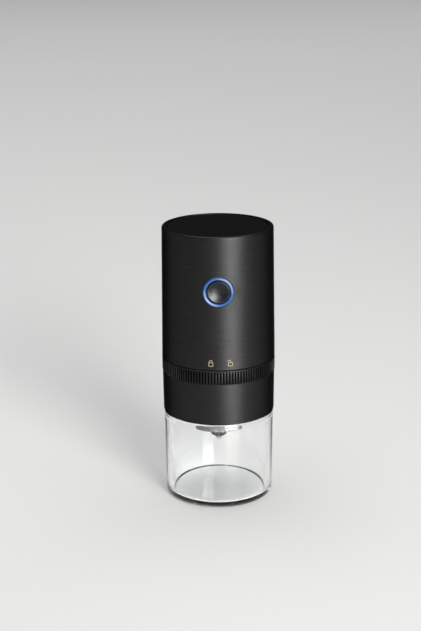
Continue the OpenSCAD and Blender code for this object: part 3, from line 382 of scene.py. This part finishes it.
# The lock ring is a black moulding with a knurl of straight ribs, and a plain rim above.
# A bead inside snaps into the collar's neck and three tabs reach over the head's tabs.
RIBS = 120
RING_R = 33.0
RIB_DEPTH = 0.7
RIB_HALF = 0.2
RIB_EDGE = 0.14
RIB_EDGE_STEPS = 2
RING_LOW = 76.5
RIB_TOP = 83.9
RING_TOP = 84.65
RIM_BEVEL = 0.35
RING_BORE_R = 30.3
TABS = 3
TAB_IN_R = 27.2
TAB_OUT_R = 30.8
TAB_LEVELS = (81.3, 83.3)
TAB_SPAN = 40
TAB_MID = 43
TAB_STEPS = 20
BEAD_IN_R = 29.4
BEAD_LEVELS = (77.3, 78.1)
NEAR = 0.01
SAME_ANGLE = 1e-4
RIB_MERGE_M = 2e-6


def knurled_ring():
    """One pitch with its bevelled rib, spun into the whole knurl."""
    bm = bmesh.new()
    pitch = 2 * pi / RIBS
    slot_r = RING_R - RIB_DEPTH
    # radius, share of the pitch
    ends = ((RING_BORE_R, -0.5), (slot_r, -0.5), (slot_r, -RIB_HALF), (RING_R, -RIB_HALF),
            (RING_R, RIB_HALF), (slot_r, RIB_HALF), (slot_r, 0.5), (RING_BORE_R, 0.5))
    foot = []
    for r, share in ends:
        angle = share * pitch
        foot.append(bm.verts.new((r * cos(angle) * MM, r * sin(angle) * MM, RING_LOW * MM)))
    base = bm.faces.new(foot)
    grown = bmesh.ops.extrude_face_region(bm, geom=[base])["geom"]
    top = [item for item in grown if isinstance(item, bmesh.types.BMVert)]
    bmesh.ops.translate(bm, verts=top, vec=(0, 0, (RIB_TOP - RING_LOW) * MM))
    outer = [edge for edge in bm.edges
             if all(vert.co.xy.length > (RING_R - NEAR) * MM for vert in edge.verts)]
    bmesh.ops.bevel(bm, geom=outer, offset=RIB_EDGE * MM, offset_type="OFFSET", affect="EDGES",
                    segments=RIB_EDGE_STEPS, profile=0.5, material=-1)
    hidden = []
    for face in bm.faces:
        turns = [abs(abs(vert.co.to_2d().angle_signed(Vector((1, 0)))) - pitch / 2) for vert in face.verts]
        if max(turns) < SAME_ANGLE or all(vert.co.z > (RIB_TOP - NEAR) * MM for vert in face.verts):
            hidden.append(face)
    bmesh.ops.delete(bm, geom=hidden, context="FACES_ONLY")
    bmesh.ops.spin(bm, geom=bm.verts[:] + bm.edges[:] + bm.faces[:], axis=(0, 0, 1), cent=(0, 0, 0),
                   angle=2 * pi - pitch, steps=RIBS - 1, use_duplicate=True)
    bmesh.ops.remove_doubles(bm, verts=bm.verts[:], dist=RIB_MERGE_M)
    return bm


def add_sector(bm, r_in, r_out, levels, start, span, steps, bevel=0):
    """A block spun through an angle, its upper outer edge bevelled; a full turn closes on itself."""
    low, high = levels
    corners = [(r_in, low), (r_out, low), (r_out, high - bevel), (r_in, high)]
    if bevel:
        corners.insert(3, (r_out - bevel, high))
    section = [bm.verts.new((r * MM, 0, z * MM)) for r, z in corners]
    face = bm.faces.new(section)
    turn = Matrix.Rotation(radians(start), 4, "Z")
    bmesh.ops.transform(bm, matrix=turn, verts=section)
    full = span >= 360
    swept = section + list(face.edges) + ([] if full else [face])
    bmesh.ops.spin(bm, geom=swept, axis=(0, 0, 1), cent=(0, 0, 0), angle=radians(span), steps=steps,
                   use_merge=full)
    if full:
        bmesh.ops.delete(bm, geom=[face], context="FACES_ONLY")


def knurl_coat():
    """The same coat as above, rougher down in the slots, with painted shade there."""
    finish = Finish("ring_black", {"Metallic": 1.0, "Specular Tint": DARK_EDGE})
    grain = finish.noise(0.28, 3)
    radius = finish.from_axis((0, 0, 0), (1, 1, 0))
    raised = finish.ramp(radius, (RING_R - RIB_DEPTH) * MM, (RING_R - RIB_EDGE) * MM)
    # Painted shade: the base colour darkens from the rib tops down into the slots.
    finish.feed("Base Color", finish.tint(raised, (0.007, 0.007, 0.0072, 1), (0.038, 0.038, 0.0385, 1)))
    finish.feed("Roughness", grain * 0.06 + finish.ramp(raised, 0, 1, 0.6, 0.36))
    finish.bump(grain, 0.01)
    return finish.material


ring_mesh = knurled_ring()
add_sector(ring_mesh, RING_BORE_R, RING_R, (RIB_TOP, RING_TOP), 0, 360, RIBS, RIM_BEVEL)
add_sector(ring_mesh, BEAD_IN_R, TAB_OUT_R, BEAD_LEVELS, 0, 360, RIBS)
for tab in range(TABS):
    tab_start = 360 / TABS * tab + TAB_MID - TAB_SPAN / 2
    add_sector(ring_mesh, TAB_IN_R, TAB_OUT_R, TAB_LEVELS, tab_start, TAB_SPAN, TAB_STEPS)
bmesh.ops.recalc_face_normals(ring_mesh, faces=ring_mesh.faces[:])
new_piece("knurled_lock_ring", ring_mesh, knurl_coat(), "lock_ring", "ring_black", "lock_ring")

# The head's base plate closes the head from below. Four screws through it hold
# the inner frame and four more hold the gearbox.
cross_screws("frame_cross_screws", "frame_screws", "head",
             count=4, circle_r=18.65, turn=45, z_face=84.7, shank_top=90.7)
cross_screws("gearbox_cross_screws", "gearbox_screws", "head",
             count=4, circle_r=9.8, turn=0, z_face=84.7, shank_top=89.2)

# The gearbox is a die cast can and cover with a toothed ring inside, three nylon
# planet gears on a steel carrier, a steel pinion, and a ball bearing for the shaft.
cast_zinc = bare_metal("cast_zinc", (0.40, 0.40, 0.41), roughness=0.5, grain_mm=0.4, stretch=EVEN)
nylon = moulded("natural_nylon", (0.58, 0.54, 0.44),
                roughness=0.48, grain_mm=0.4, depth_mm=0.01, shine=0.45)
dress(cast_zinc, "gearbox_can", "gearbox_cover")
dress(nylon, "planet_gear_1", "planet_gear_2", "planet_gear_3", "motor_endcap")
dress(steel, "bearing_outer_race", "bearing_inner_race", "bearing_balls", "planet_carrier", "planet_pins",
      "drive_shaft", "sun_pinion", "motor_shaft", "motor_screws")

# The motor has a rolled steel can, ferrite magnets, a slotted iron core
# and enamelled copper windings.
WIRE_SCALE = 900


def wound_copper():
    finish = Finish("enamelled_copper", {"Metallic": 0.9, "Coat Weight": 0.6})
    turn = finish.node("ShaderNodeTexWave", {"bands_direction": "Z"},
                       {"Vector": finish.place, "Scale": WIRE_SCALE}, 1)
    patina = finish.noise(2, 2)
    finish.feed("Base Color", finish.tint(patina, (0.42, 0.16, 0.07, 1), (0.62, 0.28, 0.13, 1)))
    finish.feed("Roughness", turn * 0.2 + 0.25)
    finish.bump(turn, 0.05)
    return finish.material


rolled = bare_metal("rolled_can", (0.50, 0.50, 0.51), roughness=0.36, grain_mm=0.3, stretch=(0.06, 0.06, 1))
ferrite = moulded("ferrite", (0.05, 0.05, 0.052), roughness=0.7, grain_mm=0.3, depth_mm=0.02, shine=0.3)
stacked = bare_metal("stacked_core", (0.34, 0.34, 0.36), roughness=0.45, grain_mm=0.35, stretch=ROUND_Z)
dress(rolled, "motor_can")
dress(ferrite, "motor_magnets")
dress(stacked, "rotor_core")
dress(wound_copper(), "rotor_windings", "commutator")

# Two cells stand beside the motor, joined on top by a welded nickel strap.
# Each has a shrunk blue sleeve that leaves its two ends bare.
SLEEVE_LOW = 91.5
SLEEVE_HIGH = 137.5


def cell_sleeve():
    finish = Finish("cell_sleeve", {"Specular IOR Level": 0.5})
    height = finish.part("Z")
    wrinkle = finish.noise(3, 2, (1, 1, 4))
    bare = (height > SLEEVE_HIGH * MM) + (height < SLEEVE_LOW * MM)
    finish.feed("Base Color", finish.tint(bare, (0.035, 0.11, 0.27, 1), (0.30, 0.30, 0.31, 1)))
    finish.feed("Roughness", wrinkle * 0.15 + 0.2)
    finish.bump(wrinkle, 0.03)
    return finish.material


dress(cell_sleeve(), "battery_left", "battery_right")
nickel = bare_metal("nickel_strap", (0.58, 0.57, 0.54), roughness=0.3, grain_mm=0.2, stretch=(0.05, 1, 1))
dress(nickel, "cell_strap")

# The boards are green laminate with tracks under the solder mask, and soft red leads
# run from the motor to the front one.
TRACK_SCALE = 260
TRACK_WIDTH = 0.03


def solder_mask():
    finish = Finish("solder_mask", {"Specular IOR Level": 0.5})
    tracks = finish.node("ShaderNodeTexBrick", {"offset": 0.5},
                         {"Vector": finish.place, "Scale": TRACK_SCALE, "Mortar Size": TRACK_WIDTH}, "Fac")
    weave = finish.noise(0.6, 1)
    finish.feed("Base Color", finish.tint(tracks, (0.012, 0.10, 0.035, 1), (0.03, 0.20, 0.08, 1)))
    finish.feed("Roughness", weave * 0.15 + 0.28)
    finish.bump(tracks, 0.03)
    return finish.material


dress(solder_mask(), "control_board", "charge_board")
red_lead = moulded("red_lead", (0.42, 0.03, 0.02), roughness=0.4, grain_mm=0.6, depth_mm=0.01, shine=0.45)
led_chip = moulded("led_chip", (0.82, 0.80, 0.70), roughness=0.3, grain_mm=0.4, depth_mm=0.005, shine=0.5)
dress(red_lead, "motor_leads")
dress(led_chip, "ring_leds")

# Two small padlock marks are printed in pale gold on the head above the ring:
# a closed one where the ring locks and an open one where it lets go.
SHELL_LOW_Z = 85.2
SHELL_LOW_R = 33.0
SHELL_HIGH_Z = 160.8
SHELL_HIGH_R = 32.1
MARK_LINE = 0.38
MARK_BODY = (2.8, 2.5)
MARK_ROUND = 0.65
MARK_ROUND_STEPS = 4
BOW_R = 0.8
BOW_LEG = 0.35
BOW_SLIDE = 0.75
BOW_STEPS = 14
MARK_LOW = 87.4
MARK_LONGEST = 0.8
MARK_CUTS = 2
MARK_MERGE_MM = 1e-5
PRINT_T = 0.04
PRINT_GAP = 0.005


def shell_r(z):
    """Radius of the head's outer face at a height, in millimetres."""
    share = (z - SHELL_LOW_Z) / (SHELL_HIGH_Z - SHELL_LOW_Z)
    return SHELL_LOW_R + (SHELL_HIGH_R - SHELL_LOW_R) * share


def printed_gold():
    finish = Finish("printed_gold", {"Specular IOR Level": 0.4})
    ink = finish.noise(0.5, 3)
    finish.feed("Base Color", finish.tint(ink, (0.25, 0.21, 0.145, 1), (0.35, 0.305, 0.22, 1)))
    finish.feed("Roughness", ink * 0.2 + 0.4)
    finish.bump(ink, 0.005)
    return finish.material


def padlock(opened):
    """A padlock drawn flat, in millimetres; opened, its bow is slid aside with one leg free."""
    bm = bmesh.new()
    wide, tall = MARK_BODY
    plate = [bm.verts.new((x, 0, z)) for x, z in
             ((-wide / 2, 0), (wide / 2, 0), (wide / 2, tall), (-wide / 2, tall))]
    bm.faces.new(plate)
    bmesh.ops.bevel(bm, geom=plate, offset=MARK_ROUND, offset_type="OFFSET", affect="VERTICES",
                    segments=MARK_ROUND_STEPS, profile=0.5, material=-1)
    bmesh.ops.inset_region(bm, faces=bm.faces[:], thickness=MARK_LINE, use_even_offset=True,
                           use_boundary=True)
    middle = min(bm.faces, key=lambda face: (face.calc_center_median() - Vector((0, 0, tall / 2))).length)
    bmesh.ops.delete(bm, geom=[middle], context="FACES_ONLY")
    bow_x = -BOW_SLIDE if opened else 0
    foot = [bm.verts.new((bow_x + BOW_R + side * MARK_LINE / 2, 0, tall)) for side in (-1, 1)]
    rise = bmesh.ops.extrude_edge_only(bm, edges=[bm.edges.new(foot)])["geom"]
    verts = [item for item in rise if isinstance(item, bmesh.types.BMVert)]
    edge = next(item for item in rise if isinstance(item, bmesh.types.BMEdge))
    bmesh.ops.translate(bm, verts=verts, vec=(0, 0, BOW_LEG))
    bow = bmesh.ops.spin(bm, geom=verts + [edge], axis=(0, -1, 0), cent=(bow_x, 0, tall + BOW_LEG),
                         angle=pi, steps=BOW_STEPS)["geom_last"]
    if not opened:
        last = next(item for item in bow if isinstance(item, bmesh.types.BMEdge))
        fall = bmesh.ops.extrude_edge_only(bm, edges=[last])["geom"]
        ends = [item for item in fall if isinstance(item, bmesh.types.BMVert)]
        bmesh.ops.translate(bm, verts=ends, vec=(0, 0, -BOW_LEG))
    bmesh.ops.remove_doubles(bm, verts=bm.verts[:], dist=MARK_MERGE_MM)
    return bm


def print_mark(name, angle, opened):
    """Prints a padlock on the shell at an angle from the front, positive to the right."""
    bm = padlock(opened)
    long_edges = [edge for edge in bm.edges if edge.calc_length() > MARK_LONGEST]
    bmesh.ops.subdivide_edges(bm, edges=long_edges, cuts=MARK_CUTS)
    grown = bmesh.ops.extrude_face_region(bm, geom=bm.faces[:])["geom"]
    raised = [item for item in grown if isinstance(item, bmesh.types.BMVert)]
    bmesh.ops.translate(bm, verts=raised, vec=(0, -PRINT_T, 0))
    for vert in bm.verts:
        z = MARK_LOW + vert.co.z
        r = shell_r(z) + PRINT_GAP - vert.co.y
        a = radians(angle) + vert.co.x / RING_R
        vert.co = (r * sin(a) * MM, -r * cos(a) * MM, z * MM)
    bmesh.ops.recalc_face_normals(bm, faces=bm.faces[:])
    new_piece(name, bm, gold, "head", "bronze")


gold = printed_gold()
print_mark("mark_locked", angle=-7.9, opened=False)
print_mark("mark_open", angle=11.5, opened=True)

# The light ring is a clear light guide pushed out through the shell. Chips behind it
# light it blue, and a painted highlight whitens its glow at the upper right and lower left.
BUTTON_Z = 130.7
BUTTON_TURNS = 96
TO_BUTTON = Matrix.Translation((0, 0, BUTTON_Z * MM)) @ Matrix.Rotation(radians(90), 4, "X")
LIGHT_CORNERS = [
    # radius, distance from the object's axis, rounding
    (5.9, 28.614, 0), (6.9, 28.614, 0), (6.9, 26.414, 0), (8.9, 26.414, 0), (8.9, 27.25, 0),
    (10.5, 27.25, 0), (10.5, 28.45, 0), (8.9, 28.45, 0), (8.9, 32.914, 0.95), (6.9, 32.914, 0.95),
    (6.9, 29.414, 0), (5.9, 29.414, 0),
]
BAND_R = 7.65
BAND_CORE = 0.15
BAND_EDGE = 0.75
PAINTED_HIGHLIGHT_FROM = 6
PAINTED_HIGHLIGHT_FULL = 11.5


def lit_blue():
    finish = Finish("lit_blue", {"Specular IOR Level": 0.5, "Emission Strength": 1.0, "Roughness": 0.22})
    flow = finish.noise(4, 2)
    radius = finish.from_axis((0, 0, BUTTON_Z * MM), (1, 0, 1))
    middle = finish.ramp(abs(radius - BAND_R * MM), BAND_CORE * MM, BAND_EDGE * MM, 1.0, 0.0)
    # Painted highlight: the glow turns white towards the ring's upper right and lower left.
    slant = finish.part("X") + finish.part("Z") - BUTTON_Z * MM
    ends = finish.ramp(abs(slant), PAINTED_HIGHLIGHT_FROM * MM, PAINTED_HIGHLIGHT_FULL * MM)
    painted_highlight = middle * ends * finish.ramp(flow, 0.3, 0.7, 0.6, 1.0)
    deep = finish.tint(middle, (0.003, 0.010, 0.040, 1), (0.036, 0.115, 0.33, 1))
    finish.feed("Base Color", finish.tint(flow, (0.008, 0.022, 0.07, 1), (0.02, 0.05, 0.13, 1)))
    finish.feed("Emission Color", finish.tint(painted_highlight, deep, (0.40, 0.50, 0.72, 1)))
    finish.bump(flow, 0.05, 0.4)
    return finish.material


light_mesh = spin_outline(LIGHT_CORNERS, BUTTON_TURNS)
bmesh.ops.transform(light_mesh, matrix=TO_BUTTON, verts=light_mesh.verts[:])
new_piece("lit_ring", light_mesh, lit_blue(), "head", "lit_blue", "light_ring")

# The button's cap is turned metal with a round dish and fine lathe rings,
# pressed on a black stem that works the switch behind it.
CAP_CORNERS = [(0, 30.014, 0), (6.35, 30.014, 0), (6.35, 32.514, 0.35), (5.75, 32.5, 0.2)]
DISH_R = 5.5
DISH_LOW = 31.1
DISH_RISE = 1.3
DISH_STEPS = 12
FINE_RINGS = 9000
BROAD_RINGS = 1500
for step in range(DISH_STEPS, -1, -1):
    outward = step / DISH_STEPS
    CAP_CORNERS.append((DISH_R * outward, DISH_LOW + DISH_RISE * outward ** 2, 0))


def turned_cap():
    finish = Finish("turned_cap", {"Metallic": 1.0, "Anisotropic": 0.4})
    radius = finish.from_axis((0, 0, BUTTON_Z * MM), (1, 0, 1))
    fine = finish.node("ShaderNodeTexNoise", {"noise_dimensions": "1D"},
                       {"W": radius, "Scale": FINE_RINGS, "Detail": 2})
    broad = finish.node("ShaderNodeTexNoise", {"noise_dimensions": "1D"},
                        {"W": radius, "Scale": BROAD_RINGS, "Detail": 1})
    finish.feed("Base Color", finish.tint(broad, (0.022, 0.023, 0.025, 1), (0.06, 0.062, 0.066, 1)))
    finish.feed("Roughness", fine * 0.16 + 0.28)
    finish.bump(fine + broad, 0.012)
    return finish.material


cap_mesh = spin_outline(CAP_CORNERS, BUTTON_TURNS)
bmesh.ops.transform(cap_mesh, matrix=TO_BUTTON, verts=cap_mesh.verts[:])
new_piece("dished_cap", cap_mesh, turned_cap(), "button", "spun_metal", "button_cap")

# The charging socket at the back is a drawn steel shell around a black tongue
# with a row of gilded contacts.
SOCKET_Z = 100
TONGUE_HALF_W = 3.36
TONGUE_HALF_T = 0.4
CONTACT_SCALE = 314
CONTACT_FROM = 0.55


def socket_metal():
    finish = Finish("socket_shell", {})
    height = abs(finish.part("Z") - SOCKET_Z * MM)
    across = finish.part("X")
    tongue = (height < TONGUE_HALF_T * MM) * (abs(across) < TONGUE_HALF_W * MM)
    strip = finish.node("ShaderNodeTexWave", {"bands_direction": "X"},
                        {"Vector": finish.place, "Scale": CONTACT_SCALE}, 1)
    contact = tongue * (strip > CONTACT_FROM)
    lines = finish.noise(0.2, 2, (1, 0.06, 1))
    dark = finish.tint(tongue, (0.52, 0.52, 0.53, 1), (0.012, 0.012, 0.012, 1))
    finish.feed("Base Color", finish.tint(contact, dark, (0.75, 0.52, 0.22, 1)))
    finish.feed("Metallic", 1 - tongue + contact)
    finish.feed("Roughness", lines * 0.15 + 0.22)
    finish.bump(lines, 0.004)
    return finish.material


dress(socket_metal(), "charge_socket")

# The top cover is a flat disc let into the head's rim and held by four pegs.
# It is moulded in black and finely eroded, so it hardly shines.
matte_top = moulded("matte_top", (0.0032, 0.0032, 0.0033),
                    roughness=0.85, grain_mm=0.3, depth_mm=0.02, shine=0.05)
dress(matte_top, "top_cover")

# The floor is a plain pale sheet, wide enough to fill the frame behind the object,
# under an even dim surround.
FLOOR_HALF = 9.0
FLOOR_CELLS = 8
FLOOR_DROP = 0.25
POLISH_FULL = 0.3
POLISH_NONE = 2.4


def floor_paper():
    """A pale matte sheet; its polish round the object works only in reflections."""
    finish = Finish("floor_paper", {"Roughness": 0.85, "Specular IOR Level": 0.0,
                                    "Coat Roughness": 0.19, "Coat IOR": 1.73})
    drift = finish.noise(900, 1)
    away = finish.from_axis((0, 0, 0), (1, 1, 0))
    finish.feed("Base Color", finish.tint(drift, (0.71, 0.71, 0.705, 1), (0.74, 0.74, 0.735, 1)))
    near = finish.node("ShaderNodeMapRange", {"interpolation_type": "SMOOTHSTEP"},
                       {0: away, 1: POLISH_FULL, 2: POLISH_NONE, 3: 1.0, 4: 0.0})
    seen = finish.node("ShaderNodeLightPath", output="Is Camera Ray")
    seen_through = finish.node("ShaderNodeLightPath", output="Is Transmission Ray")
    finish.feed("Coat Weight", near * (1 - seen - seen_through))
    return finish.material


floor_mesh = bpy.data.meshes.new("floor")
floor_bm = bmesh.new()
bmesh.ops.create_grid(floor_bm, x_segments=FLOOR_CELLS, y_segments=FLOOR_CELLS, size=FLOOR_HALF)
bmesh.ops.translate(floor_bm, verts=floor_bm.verts[:], vec=(0, 0, -FLOOR_DROP * MM))
floor_bm.to_mesh(floor_mesh)
floor_bm.free()
floor_mesh.materials.append(floor_paper())
floor = bpy.data.objects.new("floor", floor_mesh)
bpy.context.scene.collection.objects.link(floor)

world = bpy.data.worlds.new("studio")
bpy.context.scene.world = world
world.use_nodes = True
surround = world.node_tree.nodes["Background"]
surround.inputs["Color"].default_value = (0.11, 0.11, 0.113, 1)
surround.inputs["Strength"].default_value = 1.0


# A soft box with a grid stands to the right of the camera and gives the long highlight.
# A weak one fills from the left, and a wide one hangs over the floor.
def soft_box(name, place, target, size, watts, colour, spread=180):
    """A rectangular lamp at place that faces target."""
    lamp = bpy.data.lights.new(name, "AREA")
    lamp.shape = "RECTANGLE"
    lamp.size, lamp.size_y = size
    lamp.energy = watts
    lamp.color = colour
    lamp.spread = radians(spread)
    box = bpy.data.objects.new(name, lamp)
    box.location = place
    box.rotation_euler = (Vector(target) - Vector(place)).to_track_quat("-Z", "Y").to_euler()
    bpy.context.scene.collection.objects.link(box)


soft_box("key_box", place=(0.78, -1.545, 0.5), target=(0, 0, 0.11), size=(0.84, 0.93),
         watts=6.0, colour=(1.0, 0.99, 0.97), spread=55)
soft_box("left_box", place=(-1.2, 0.5, 0.4), target=(0, 0, 0.1), size=(0.3, 0.7),
         watts=0.8, colour=(0.97, 0.98, 1.0))
soft_box("top_box", place=(0, 1.0, 7.0), target=(0, 1.0, 0), size=(9.0, 9.0),
         watts=480, colour=(1, 1, 1))

# The camera stands at the photograph's place: a little above the object,
# looking down at it, with the long lens that the outline was fitted with.
FOCAL_PX = 1351.0
FRAME_TALL_PX = 631
SENSOR = 36.0
PITCH = radians(16.563)
ROLL = radians(-0.493)
AIM = Vector((-4.476, 0, 107.8)) * MM
REACH = 787.2 * MM
camera_data = bpy.data.cameras.new("camera")
camera_data.sensor_fit = "VERTICAL"
camera_data.sensor_height = SENSOR
camera_data.lens = FOCAL_PX * SENSOR / FRAME_TALL_PX
camera = bpy.data.objects.new("camera", camera_data)
tilt = Matrix.Rotation(pi / 2 - PITCH, 3, "X") @ Matrix.Rotation(ROLL, 3, "Z")
camera.rotation_euler = tilt.to_euler()
camera.location = AIM + REACH * Vector((0, -cos(PITCH), sin(PITCH)))
bpy.context.scene.collection.objects.link(camera)
bpy.context.scene.camera = camera
bpy.context.scene.view_settings.view_transform = "Standard"
